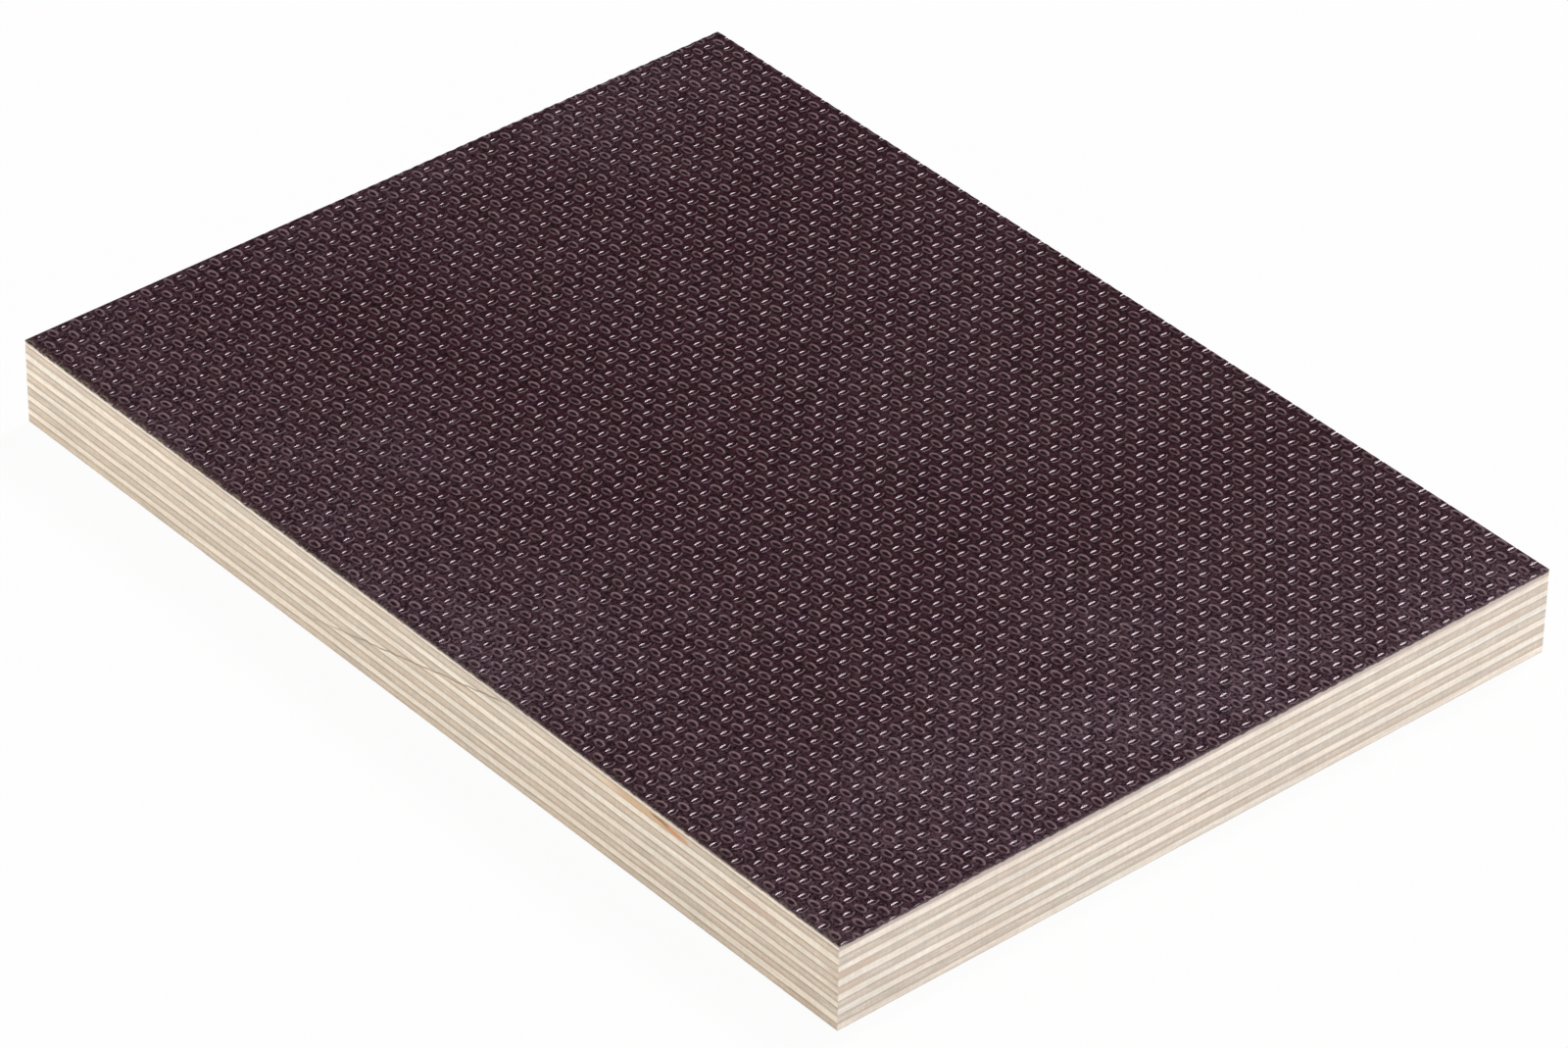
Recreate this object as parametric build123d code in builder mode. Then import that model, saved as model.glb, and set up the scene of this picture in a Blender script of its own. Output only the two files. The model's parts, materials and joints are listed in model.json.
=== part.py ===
from build123d import *
import os

# Film-faced plywood board with a mesh-pressed grip face, sawn to a small rectangle.
#
# The board is a stack of peeled birch veneers, each laid with its grain square to the one below it.
# A dark resin film covers each face: a thin smooth one underneath, and a thicker one on top that was
# pressed against wire cloth. X runs along the long sawn edge, Y along the short one and Z up through
# the thickness. The origin is the middle of the underside, and every length is in millimetres.

# Plan of the sawn board
long_edge = 187.5
short_edge = 136.5

# Thickness of each kind of layer, and how many of the full veneers there are
back_film_thickness = 0.10
veneer_thickness = 1.27
veneer_count = 11
face_veneer_thickness = 0.65
mesh_film_thickness = 0.28

# Heights at which the layers meet, from the underside up
core_underside = back_film_thickness
core_top = core_underside + veneer_count * veneer_thickness
film_underside = core_top + face_veneer_thickness

os.makedirs("parts", exist_ok=True)

# Back film: the smooth film that the board lies on
with BuildPart() as back_film:
    with BuildSketch(Plane.XY):
        Rectangle(long_edge, short_edge)
    extrude(amount=back_film_thickness)
back_film.part.label = "back_film"
export_step(back_film.part, "parts/back_film.step")

# Full veneers, counted from the top as they are read on a sawn edge. The odd ones are crossbands,
# with their grain along Y. The even ones are centre plies, with their grain along X.
for number in range(1, veneer_count + 1):
    underside = core_top - number * veneer_thickness
    with BuildPart() as veneer:
        with BuildSketch(Plane.XY.offset(underside)):
            Rectangle(long_edge, short_edge)
        extrude(amount=veneer_thickness)
    family = "crossband" if number % 2 else "centre_ply"
    rank = (number + 1) // 2
    veneer.part.label = f"{family}_{rank}"
    export_step(veneer.part, f"parts/{veneer.part.label}.step")

# Face veneer: the thin sanded sheet under the grip film, with its grain along X
with BuildPart() as face_veneer:
    with BuildSketch(Plane.XY.offset(core_top)):
        Rectangle(long_edge, short_edge)
    extrude(amount=face_veneer_thickness)
face_veneer.part.label = "face_veneer"
export_step(face_veneer.part, "parts/face_veneer.step")

# Mesh film: the grip face, at the full thickness that it has between the cloth's shallow dents
with BuildPart() as mesh_film:
    with BuildSketch(Plane.XY.offset(film_underside)):
        Rectangle(long_edge, short_edge)
    extrude(amount=mesh_film_thickness)
mesh_film.part.label = "mesh_film"
export_step(mesh_film.part, "parts/mesh_film.step")

board_thickness = film_underside + mesh_film_thickness
print(f"board {long_edge} x {short_edge} x {board_thickness:.2f} mm, {veneer_count} full veneers")
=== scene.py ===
# %% [markdown]
# # A small board of film-faced birch plywood
#
# The board is a stack of thin birch veneers, each turned a quarter against the one below. A dark resin
# film seals both faces, and the top one was pressed against wire cloth, so that shoes and wheels grip it.
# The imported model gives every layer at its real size. This script dresses those layers: it never
# moves them, and everything it makes is in metres, in the same frame. X runs along the long sawn edge,
# Y along the short one and Z up.

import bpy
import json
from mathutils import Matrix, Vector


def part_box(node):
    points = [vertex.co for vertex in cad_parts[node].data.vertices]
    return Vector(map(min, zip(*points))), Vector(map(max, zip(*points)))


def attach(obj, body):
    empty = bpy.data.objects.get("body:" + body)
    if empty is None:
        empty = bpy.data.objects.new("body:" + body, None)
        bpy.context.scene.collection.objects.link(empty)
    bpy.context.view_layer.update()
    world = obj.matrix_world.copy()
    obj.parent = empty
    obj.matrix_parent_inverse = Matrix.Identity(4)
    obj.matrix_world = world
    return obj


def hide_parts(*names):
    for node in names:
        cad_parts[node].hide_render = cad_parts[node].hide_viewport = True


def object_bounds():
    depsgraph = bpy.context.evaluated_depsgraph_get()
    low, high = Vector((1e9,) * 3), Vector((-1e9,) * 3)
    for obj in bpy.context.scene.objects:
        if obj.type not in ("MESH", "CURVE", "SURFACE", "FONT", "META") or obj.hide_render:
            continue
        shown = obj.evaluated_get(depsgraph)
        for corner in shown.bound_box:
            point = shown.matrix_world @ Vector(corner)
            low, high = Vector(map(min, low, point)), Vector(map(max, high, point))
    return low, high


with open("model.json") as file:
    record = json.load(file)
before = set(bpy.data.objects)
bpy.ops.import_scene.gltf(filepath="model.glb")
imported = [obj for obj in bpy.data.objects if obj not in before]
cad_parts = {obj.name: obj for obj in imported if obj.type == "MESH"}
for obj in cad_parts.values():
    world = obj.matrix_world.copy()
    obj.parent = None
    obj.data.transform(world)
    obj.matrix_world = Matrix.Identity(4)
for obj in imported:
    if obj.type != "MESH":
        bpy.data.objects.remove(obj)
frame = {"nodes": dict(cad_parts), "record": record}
cad_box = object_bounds()
print("nodes:", ", ".join(sorted(frame["nodes"])))

# %% Modules, units and the board's own sizes
import json
import math

import bmesh
import bpy
import numpy as np
from mathutils import Matrix, Vector, noise

mm = 0.001
board_low, board_high = cad_box
board_top = board_high.z
film_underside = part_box("mesh_film")[0].z
print("board in mm:", [round(side / mm, 2) for side in board_high - board_low])

# %% [markdown]
# ## The camera
#
# The board is seen from above its near corner, through a long lens from a little over a metre away, so
# that its parallel edges hardly converge. A camera could be keyed in by hand, but it is easier to check
# when it is written as a photographer would say it: the point it looks at, how far round and how high it
# stands, how far off, and how much it leans.

# %% Camera
aim_point = Vector((6.85, -3.72, 7.5)) * mm
camera_azimuth = math.radians(48.87)
camera_elevation = math.radians(36.01)
camera_distance = 1.1798
camera_lean = math.radians(1.027)
lens_mm, sensor_mm = 183.3, 36.0


def toward(azimuth, elevation):
    """Unit vector to something at that azimuth, from -Y round to +X, and that height above the floor."""
    level = math.cos(elevation)
    return Vector((math.sin(azimuth) * level, -math.cos(azimuth) * level, math.sin(elevation)))


def look(back, lean=0.0):
    """Rotation of a camera or a lamp that looks along -back, leaning by that angle about its own axis."""
    side = Vector((0, 0, 1)).cross(back).normalized()
    up = back.cross(side)
    turned = side * math.cos(lean) + up * math.sin(lean)
    return Matrix((turned, back.cross(turned), back)).transposed().to_4x4()


back = toward(camera_azimuth, camera_elevation)
lens = bpy.data.cameras.new("camera")
lens.lens = lens_mm
lens.sensor_width = sensor_mm
lens.clip_start = 0.01
camera = bpy.data.objects.new("camera", lens)
camera.matrix_world = Matrix.Translation(aim_point + back * camera_distance) @ look(back, camera_lean)
bpy.context.scene.collection.objects.link(camera)
bpy.context.scene.camera = camera
print("camera at", [round(value, 4) for value in camera.matrix_world.translation])

# %% [markdown]
# ## Helpers for shader nodes
#
# Every finish below is a small network of nodes. It could be wired by hand in the shader editor. Written
# with a few verbs it can be read from top to bottom: add a node, feed a socket with a number or another
# socket, do a sum, and fade from one value to another.

# %% Node helpers: add, feed, calculate and fade


def add_node(tree, kind, **settings):
    """A new shader node, with its own properties set."""
    made = tree.nodes.new("ShaderNode" + kind)
    column, row = len(tree.nodes) % 12, len(tree.nodes) // 12
    made.location = (220 * column, -300 * row)
    for name, value in settings.items():
        setattr(made, name, value)
    return made


def feed(tree, socket, value):
    """Link the socket to another one, or type a plain value into it."""
    if isinstance(value, bpy.types.NodeSocket):
        tree.links.new(value, socket)
    else:
        socket.default_value = value


def calc(tree, operation, *values):
    """One sum on plain numbers: ADD, MULTIPLY, SUBTRACT and so on."""
    made = add_node(tree, "Math", operation=operation)
    for socket, value in zip(made.inputs, values):
        feed(tree, socket, value)
    return made.outputs[0]


def fade(tree, value, start, end):
    """0 at start and 1 at end, with soft shoulders. Start may be the larger one."""
    made = add_node(tree, "MapRange", interpolation_type="SMOOTHSTEP")
    feed(tree, made.inputs["Value"], value)
    made.inputs["From Min"].default_value = start
    made.inputs["From Max"].default_value = end
    return made.outputs["Result"]


def spread(tree, value, low, high):
    """A value that runs from 0 to 1, spread over another range."""
    made = add_node(tree, "MapRange")
    feed(tree, made.inputs["Value"], value)
    made.inputs["To Min"].default_value = low
    made.inputs["To Max"].default_value = high
    return made.outputs["Result"]


print("helpers for sums ready")

# %% Node helpers: places on the board and random patterns


def place_in_mm(tree):
    """Where a point is on the board, in millimetres."""
    made = add_node(tree, "VectorMath", operation="SCALE")
    tree.links.new(add_node(tree, "TexCoord").outputs["Object"], made.inputs[0])
    made.inputs["Scale"].default_value = 1 / mm
    return made.outputs[0]


def axes_of(tree, vector):
    """The three numbers of a vector."""
    made = add_node(tree, "SeparateXYZ")
    feed(tree, made.inputs[0], vector)
    return made.outputs


def stretch(tree, place, factors):
    """The place times one factor for each axis: small factors make long features."""
    made = add_node(tree, "VectorMath", operation="MULTIPLY")
    feed(tree, made.inputs[0], place)
    made.inputs[1].default_value = factors
    return made.outputs[0]


def grain_noise(tree, place, scale, detail=2.0, roughness=0.5):
    """Soft random values from 0 to 1. The scale is features for each millimetre."""
    made = add_node(tree, "TexNoise")
    feed(tree, made.inputs["Vector"], place)
    made.inputs["Scale"].default_value = scale
    made.inputs["Detail"].default_value = detail
    made.inputs["Roughness"].default_value = roughness
    return made.outputs[0]


def sway(tree, place, scale, reach, driven_by=None):
    """The place, pushed about by up to half of reach along each axis."""
    made = add_node(tree, "TexNoise")
    feed(tree, made.inputs["Vector"], driven_by or place)
    made.inputs["Scale"].default_value = scale
    centred = add_node(tree, "VectorMath", operation="SUBTRACT")
    feed(tree, centred.inputs[0], made.outputs["Color"])
    centred.inputs[1].default_value = (0.5, 0.5, 0.5)
    pushed = add_node(tree, "VectorMath", operation="MULTIPLY_ADD")
    feed(tree, pushed.inputs[0], centred.outputs[0])
    pushed.inputs[1].default_value = reach
    feed(tree, pushed.inputs[2], place)
    return pushed.outputs[0]


print("helpers for patterns ready")

# %% Node helpers: colours, bumps and a new material


def tint(tree, amount, first, second, blend_type="MIX"):
    """The first colour turned into the second by that amount."""
    made = add_node(tree, "Mix", data_type="RGBA", blend_type=blend_type)
    feed(tree, made.inputs[0], amount)
    feed(tree, made.inputs[6], first)
    feed(tree, made.inputs[7], second)
    return made.outputs[2]


def grey_of(tree, value):
    """A grey of that value, to multiply a colour by."""
    made = add_node(tree, "CombineColor")
    for socket in made.inputs:
        feed(tree, socket, value)
    return made.outputs[0]


def dents(tree, height, distance):
    """A bump of that height in metres where the value is 1."""
    made = add_node(tree, "Bump")
    made.inputs["Distance"].default_value = distance
    feed(tree, made.inputs["Height"], height)
    return made.outputs["Normal"]


def finish_of(name, roughness, specular):
    """A new material with its node tree and its Principled shader."""
    made = bpy.data.materials.new(name)
    made.use_nodes = True
    shader = made.node_tree.nodes["Principled BSDF"]
    shader.inputs["Roughness"].default_value = roughness
    shader.inputs["Specular IOR Level"].default_value = specular
    return made, made.node_tree, shader


print("helpers for finishes ready")

# %% [markdown]
# ## Node groups: effects that both birch finishes share
#
# Birch veneer looks the same whichever way it is laid, only turned. So its figure, the glue at its
# margins, the resin that sank into it and the marks of the saw are each one node group, built once. A
# material places the group and tells it which way the grain runs.

# %% Helper for groups


def new_group(name, inputs, outputs):
    """A shader group with those sockets. Returns it with what comes in and what goes out."""
    group = bpy.data.node_groups.new(name, "ShaderNodeTree")
    for label, kind in inputs.items():
        group.interface.new_socket(label, in_out="INPUT", socket_type="NodeSocket" + kind)
    for label, kind in outputs.items():
        group.interface.new_socket(label, in_out="OUTPUT", socket_type="NodeSocket" + kind)
    source = add_node_of_group(group, "NodeGroupInput")
    result = add_node_of_group(group, "NodeGroupOutput")
    return group, source.outputs, result.inputs


def add_node_of_group(group, kind):
    """The node inside a group that stands for its sockets."""
    made = group.nodes.new(kind)
    made.location = (-250, 0) if kind == "NodeGroupInput" else (2800, 0)
    return made


def place_group(tree, group, **values):
    """The group as one node of a material, with its inputs fed."""
    made = add_node(tree, "Group", node_tree=group)
    for name, value in values.items():
        feed(tree, made.inputs[name], value)
    return made.outputs


print("group helper ready")

# %% Birch figure: fibres, pores, growth rings and slow changes of tone
birch_figure, given, put = new_group(
    "birch figure",
    {"Place": "Vector", "Layer": "Float"},
    {"Fibre": "Float", "Vessels": "Float", "Pores": "Float", "Rings": "Float", "Tone": "Float"},
)
shift_per_layer = 37.0
apart = add_node(birch_figure, "CombineXYZ")
feed(birch_figure, apart.inputs["Y"], calc(birch_figure, "MULTIPLY", given["Layer"], shift_per_layer))
shifted = add_node(birch_figure, "VectorMath", operation="ADD")
feed(birch_figure, shifted.inputs[0], given["Place"])
feed(birch_figure, shifted.inputs[1], apart.outputs[0])
in_veneer = shifted.outputs[0]
for label, factors, detail, roughness in (
    ("Fibre", (0.10, 2.0, 2.6), 3.0, 0.6),
    ("Vessels", (0.9, 5.0, 6.0), 3.0, 0.65),
    ("Pores", (1.0, 2.4, 3.4), 3.0, 0.7),
    ("Rings", (0.02, 0.16, 2.4), 4.0, 0.6),
    ("Tone", (0.04, 0.05, 0.10), 2.0, 0.5),
):
    pattern = grain_noise(birch_figure, stretch(birch_figure, in_veneer, factors), 1.0, detail, roughness)
    feed(birch_figure, put[label], fade(birch_figure, pattern, 0.30, 0.70))
print("birch figure:", len(birch_figure.nodes), "nodes")

# %% Glue line: the dark margins where a veneer soaked up glue
glue_line, given, put = new_group(
    "glue line",
    {"Below": "Float", "Above": "Float", "Place": "Vector"},
    {"Line": "Float", "Soak": "Float"},
)
place = given["Place"]
ragged = grain_noise(glue_line, stretch(glue_line, place, (0.7, 0.7, 1.6)), 1.0, 4.0, 0.7)
uneven = spread(glue_line, ragged, -0.12, 0.12)
to_below = calc(glue_line, "ADD", given["Below"], uneven)
to_above = calc(glue_line, "ADD", given["Above"], uneven)
patches = grain_noise(glue_line, stretch(glue_line, place, (0.16, 0.16, 0.7)), 1.0, 3.0, 0.6)
strength = spread(glue_line, fade(glue_line, patches, 0.38, 0.62), 0.5, 1.0)
under = calc(glue_line, "MULTIPLY", fade(glue_line, to_below, 0.30, 0.15), 0.85)
either = calc(glue_line, "MAXIMUM", under, fade(glue_line, to_above, 0.34, 0.17))
feed(glue_line, put["Line"], calc(glue_line, "MULTIPLY", either, strength))
nearest = calc(glue_line, "MINIMUM", calc(glue_line, "ADD", to_below, 0.10), to_above)
feed(glue_line, put["Soak"], fade(glue_line, nearest, 0.25, 0.14))
print("glue line:", len(glue_line.nodes), "nodes")

# %% Resin soak: how far the film's resin sank into the wood below it, in millimetres below the film
resin_soak, given, put = new_group(
    "resin soak",
    {"Depth": "Float", "Cut Across": "Float", "Place": "Vector"},
    {"Stain": "Float", "Crust": "Float"},
)
wave = grain_noise(resin_soak, stretch(resin_soak, given["Place"], (0.75, 0.75, 0.0)), 1.0, 3.0, 0.6)
wave = fade(resin_soak, wave, 0.3, 0.7)
sunk = calc(resin_soak, "ADD", given["Depth"], spread(resin_soak, wave, -0.10, 0.10))
reach = spread(resin_soak, given["Cut Across"], 0.30, 0.85)
feed(resin_soak, put["Stain"], fade(resin_soak, calc(resin_soak, "DIVIDE", sunk, reach), 1.0, 0.3))
reach = spread(resin_soak, given["Cut Across"], 0.05, 0.14)
feed(resin_soak, put["Crust"], fade(resin_soak, calc(resin_soak, "DIVIDE", sunk, reach), 1.1, 0.3))
print("resin soak:", len(resin_soak.nodes), "nodes")

# %% Saw marks: faint upright strokes that the blade left on the edges
saw_marks, given, put = new_group("saw marks", {"Place": "Vector"}, {"Strokes": "Float"})
strokes = grain_noise(saw_marks, stretch(saw_marks, given["Place"], (1.7, 1.7, 0.45)), 1.0, 3.0, 0.6)
feed(saw_marks, put["Strokes"], strokes)
print("saw marks:", len(saw_marks.nodes), "nodes")

# %% Front scratch: one thin wavy line that climbs across all the veneers of the long edge
scratch_start, scratch_end = Vector((-33.0, 0.9)), Vector((21.7, 14.1))
scratch_slope = (scratch_end.y - scratch_start.y) / (scratch_end.x - scratch_start.x)
front_scratch, given, put = new_group("front scratch", {"Place": "Vector"}, {"Mark": "Float"})
x, y, z = axes_of(front_scratch, given["Place"])
wobble = grain_noise(front_scratch, stretch(front_scratch, given["Place"], (0.22, 0.0, 0.0)), 1.0, 2.0, 0.6)
height_at_middle = scratch_start.y - scratch_slope * scratch_start.x
path_height = calc(front_scratch, "MULTIPLY_ADD", x, scratch_slope, height_at_middle)
path_height = calc(front_scratch, "ADD", path_height, spread(front_scratch, wobble, -0.6, 0.6))
off_path = calc(front_scratch, "ABSOLUTE", calc(front_scratch, "SUBTRACT", z, path_height))
line = fade(front_scratch, off_path, 0.22, 0.04)
lifted = fade(front_scratch, x, 22.5, 19.0)
pressure = calc(front_scratch, "MULTIPLY", fade(front_scratch, x, -34.0, -5.0), lifted)
on_front = fade(front_scratch, y, board_low.y / mm + 0.6, board_low.y / mm + 0.2)
pressure = calc(front_scratch, "MULTIPLY", pressure, on_front)
feed(front_scratch, put["Mark"], calc(front_scratch, "MULTIPLY", line, pressure))
print("front scratch:", len(front_scratch.nodes), "nodes")

# %% [markdown]
# ## The two birch finishes
#
# A sawn edge shows every other veneer along its fibres and the ones between across them. Along the
# fibres birch is cream and even. Across them the cut ends drink in light, so it looks greyer, with
# pores and growth rings. One function makes both materials, and a mask from the surface's own normal
# picks the right look on each edge, so a veneer is cream on one edge and grey on the next.

# %% Colours of birch
streak_colour = (0.66, 0.53, 0.40, 1)
scratch_colour = (0.20, 0.15, 0.11, 1)
resin_colour = (0.030, 0.016, 0.017, 1)
resin_stain = (0.47, 0.37, 0.37, 1)
warm_cast, cool_cast = (1.015, 0.985, 0.965, 1), (0.985, 1.0, 1.01, 1)


def shaded(colour, factor):
    """The same colour, lighter or darker."""
    return [value * factor for value in colour[:3]] + [1]


print("a streak one tenth lighter:", [round(value, 3) for value in shaded(streak_colour, 1.1)])

# %% Resin in the wood: it sank deep into cut ends, and hardly into the sides of fibres


def with_resin(tree, colour, place, cut_across):
    """The wood's colour, stained by the resin of the grip film above it."""
    under_film = calc(tree, "SUBTRACT", film_underside / mm, axes_of(tree, place)[2])
    soak = place_group(tree, resin_soak, **{"Depth": under_film, "Cut Across": cut_across, "Place": place})
    stain = calc(tree, "MULTIPLY", soak["Stain"], spread(tree, cut_across, 0.10, 0.80))
    colour = tint(tree, stain, colour, resin_stain)
    veil = calc(tree, "MULTIPLY", fade(tree, under_film, 2.2, 1.0), spread(tree, cut_across, 0.05, 0.0))
    colour = tint(tree, veil, colour, resin_stain)
    return tint(tree, soak["Crust"], colour, resin_colour)


print("the film's underside in mm:", round(film_underside / mm, 3))

# %% Birch finish


def birch(name, grain_axis, long_colour, end_colour, glue_colour):
    """Bare sawn birch veneer whose grain runs along X (0) or Y (1)."""
    material, tree, shader = finish_of(name, 0.7, 0.25)
    place = place_in_mm(tree)
    along = add_node(tree, "VectorRotate", rotation_type="Z_AXIS")
    feed(tree, along.inputs["Vector"], place)
    along.inputs["Angle"].default_value = -math.pi / 2 * grain_axis
    layer = add_node(tree, "Attribute", attribute_name="layer").outputs["Fac"]
    below = add_node(tree, "Attribute", attribute_name="below").outputs["Fac"]
    above = add_node(tree, "Attribute", attribute_name="above").outputs["Fac"]
    figure = place_group(tree, birch_figure, Place=along.outputs[0], Layer=layer)
    glue = place_group(tree, glue_line, Below=below, Above=above, Place=place)
    strokes = place_group(tree, saw_marks, Place=place)["Strokes"]
    scratch = place_group(tree, front_scratch, Place=place)["Mark"]
    facing = axes_of(tree, add_node(tree, "TexCoord").outputs["Normal"])[grain_axis]
    cut_across = fade(tree, calc(tree, "ABSOLUTE", facing), 0.4, 0.6)

    # Along the fibres: cream, with fine streaks and vessels, and greyed where the glue soaked in
    long_look = tint(tree, figure["Fibre"], shaded(long_colour, 1.10), shaded(long_colour, 0.89))
    long_look = tint(tree, calc(tree, "MULTIPLY", figure["Vessels"], 0.28), long_look, streak_colour)
    long_look = tint(tree, glue["Soak"], long_look, shaded(end_colour, 0.88))
    # Across the fibres: greyer, with pores and growth rings, and darkest at the glue
    end_look = tint(tree, figure["Rings"], shaded(end_colour, 1.24), shaded(end_colour, 0.94))
    end_look = tint(tree, calc(tree, "MULTIPLY", figure["Pores"], 0.5), end_look, shaded(end_colour, 0.77))
    end_look = tint(tree, glue["Line"], end_look, glue_colour)
    colour = tint(tree, cut_across, long_look, end_look)
    # The saw strokes are also painted a little lighter and darker, as painted shading of their relief
    painted_stroke_shading = spread(tree, fade(tree, strokes, 0.3, 0.7), 0.955, 1.035)
    colour = tint(tree, 1.0, colour, grey_of(tree, painted_stroke_shading), "MULTIPLY")
    # Slow casts along each veneer, from warm heartwood to cool sapwood
    cast = tint(tree, figure["Tone"], cool_cast, warm_cast)
    colour = tint(tree, 1.0, colour, cast, "MULTIPLY")
    colour = tint(tree, calc(tree, "MULTIPLY", scratch, 0.75), colour, scratch_colour)
    feed(tree, shader.inputs["Base Color"], with_resin(tree, colour, place, cut_across))
    feed(tree, shader.inputs["Roughness"], spread(tree, figure["Fibre"], 0.62, 0.78))
    relief = calc(tree, "MULTIPLY_ADD", strokes, 0.5, calc(tree, "MULTIPLY", figure["Fibre"], 0.4))
    relief = calc(tree, "SUBTRACT", relief, calc(tree, "MULTIPLY", glue["Line"], 0.4))
    feed(tree, shader.inputs["Normal"], dents(tree, relief, 0.03 * mm))
    return material, tree, shader


print("birch ready for grain along X and along Y")

# %% The two materials
along_x, along_x_tree, along_x_shader = birch(
    "birch along X",
    0,
    long_colour=(0.92, 0.82, 0.685, 1),
    end_colour=(0.625, 0.54, 0.465, 1),
    glue_colour=(0.49, 0.43, 0.37, 1),
)
along_y, along_y_tree, along_y_shader = birch(
    "birch along Y",
    1,
    long_colour=(0.85, 0.785, 0.715, 1),
    end_colour=(0.68, 0.57, 0.452, 1),
    glue_colour=(0.44, 0.36, 0.28, 1),
)
finishes = {"birch_along_x": along_x, "birch_along_y": along_y}
print("birch finishes:", ", ".join(finishes))

# %% [markdown]
# ## The knot and other flaws
#
# Birch is not spotless. On the long edge, near the corner, the peeling knife passed a small knot in the
# top crossband: the wood there is orange, with a brown streak. A short slanted check follows, and the
# crossband below has a pinkish stretch. The short edge has a few dark dashes and warm patches. Each flaw
# is a soft oval on its own edge, painted into the finish of the veneer that it is in. The ovals are
# pushed about by noise, so that none looks drawn.

# %% Helper for flaws


def oval(tree, place, edge, middle, half_size, lean):
    """1 inside an oval on a sawn edge, 0 outside. Its middle and half size are along that edge and up."""
    x, y, z = axes_of(tree, place)
    on_long_edge = edge == "long"
    run = calc(tree, "SUBTRACT", x if on_long_edge else y, middle[0])
    rise = calc(tree, "SUBTRACT", z, middle[1])
    cos, sin = math.cos(math.radians(lean)), math.sin(math.radians(lean))
    lengthwise = calc(tree, "MULTIPLY_ADD", run, cos, calc(tree, "MULTIPLY", rise, sin))
    crosswise = calc(tree, "MULTIPLY_ADD", rise, cos, calc(tree, "MULTIPLY", run, -sin))
    lengthwise = calc(tree, "DIVIDE", lengthwise, half_size[0])
    crosswise = calc(tree, "DIVIDE", crosswise, half_size[1])
    off = calc(tree, "MULTIPLY_ADD", lengthwise, lengthwise, calc(tree, "MULTIPLY", crosswise, crosswise))
    sawn = board_low.y / mm if on_long_edge else board_high.x / mm
    inward = calc(tree, "ABSOLUTE", calc(tree, "SUBTRACT", y if on_long_edge else x, sawn))
    return calc(tree, "MULTIPLY", fade(tree, off, 1.2, 0.3), fade(tree, inward, 4.0, 1.0))


print("flaw helper ready")

# %% Flaws: name, edge, middle, half size, lean in degrees, strength and colour
crossband_flaws = (
    ("pale wood", "long", (43.5, 13.35), (4.5, 0.55), 0, 0.70, (0.86, 0.68, 0.48, 1)),
    ("knot", "long", (53.0, 13.4), (9.5, 0.95), 0, 0.64, (0.65, 0.40, 0.205, 1)),
    ("red wood", "long", (58.6, 13.25), (3.4, 0.50), -4, 0.72, (0.62, 0.27, 0.12, 1)),
    ("brown streak", "long", (55.6, 13.68), (2.4, 0.22), -2, 0.88, (0.19, 0.105, 0.045, 1)),
    ("check", "long", (74.5, 13.5), (1.0, 0.10), 40, 0.60, (0.30, 0.22, 0.15, 1)),
    ("pink stretch", "long", (75.0, 10.85), (6.5, 0.70), 0, 0.55, (0.62, 0.43, 0.33, 1)),
    ("first dash", "short", (-22.0, 11.4), (0.7, 0.10), 4, 0.70, (0.25, 0.17, 0.12, 1)),
    ("second dash", "short", (-15.0, 11.42), (0.5, 0.10), -5, 0.70, (0.25, 0.17, 0.12, 1)),
    ("upper streak", "short", (46.0, 13.6), (24.0, 0.12), 0, 0.45, (0.50, 0.42, 0.35, 1)),
    ("lower streak", "short", (52.0, 13.15), (15.0, 0.10), 0, 0.40, (0.50, 0.42, 0.35, 1)),
)
centre_ply_flaws = (
    ("warm end", "short", (-65.5, 9.6), (6.0, 0.75), 0, 0.60, (0.60, 0.44, 0.34, 1)),
    ("lower warm end", "short", (-66.0, 7.1), (4.0, 0.70), 0, 0.45, (0.60, 0.44, 0.34, 1)),
    ("red dash", "short", (0.5, 7.5), (2.6, 0.13), 2, 0.75, (0.42, 0.22, 0.15, 1)),
    ("far pink stretch", "short", (59.0, 9.6), (4.0, 0.70), 0, 0.45, (0.62, 0.46, 0.38, 1)),
)
for tree, shader, flaws in (
    (along_y_tree, along_y_shader, crossband_flaws),
    (along_x_tree, along_x_shader, centre_ply_flaws),
):
    colour = shader.inputs["Base Color"].links[0].from_socket
    place = place_in_mm(tree)
    blotch = grain_noise(tree, stretch(tree, place, (0.45, 0.45, 1.6)), 1.0, 4.0, 0.65)
    blotch = spread(tree, blotch, 0.5, 1.5)
    swayed = sway(tree, place, 0.5, (2.5, 2.5, 0.5))
    for name, edge, middle, half_size, lean, flaw_strength, flaw_colour in flaws:
        inside_flaw = calc(tree, "MULTIPLY", oval(tree, swayed, edge, middle, half_size, lean), blotch)
        colour = tint(tree, calc(tree, "MULTIPLY", inside_flaw, flaw_strength), colour, flaw_colour)
    feed(tree, shader.inputs["Base Color"], colour)
print(len(crossband_flaws) + len(centre_ply_flaws), "flaws")

# %% [markdown]
# ## The veneers
#
# A veneer is peeled off the log like paper off a roll, so its thickness wanders a little, and the press
# squeezes soft patches thinner. The joints on a sawn edge are therefore never ruled lines. Painting
# wavy lines on straight plates would show at the corners, so each veneer is a real mesh: a grid above
# and one below, and both neighbours read the same height for the joint they share, so nothing gaps.

# %% Height of each joint
grid_step = 3.0 * mm
wander = 0.20 * mm
slow_length, quick_length = 34 * mm, 11 * mm
grid_columns = round((board_high.x - board_low.x) / grid_step)
grid_rows = round((board_high.y - board_low.y) / grid_step)
bottom_up = sorted(frame["nodes"], key=lambda node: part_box(node)[0].z)
rank_of = {name: index for index, name in enumerate(bottom_up)}


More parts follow.
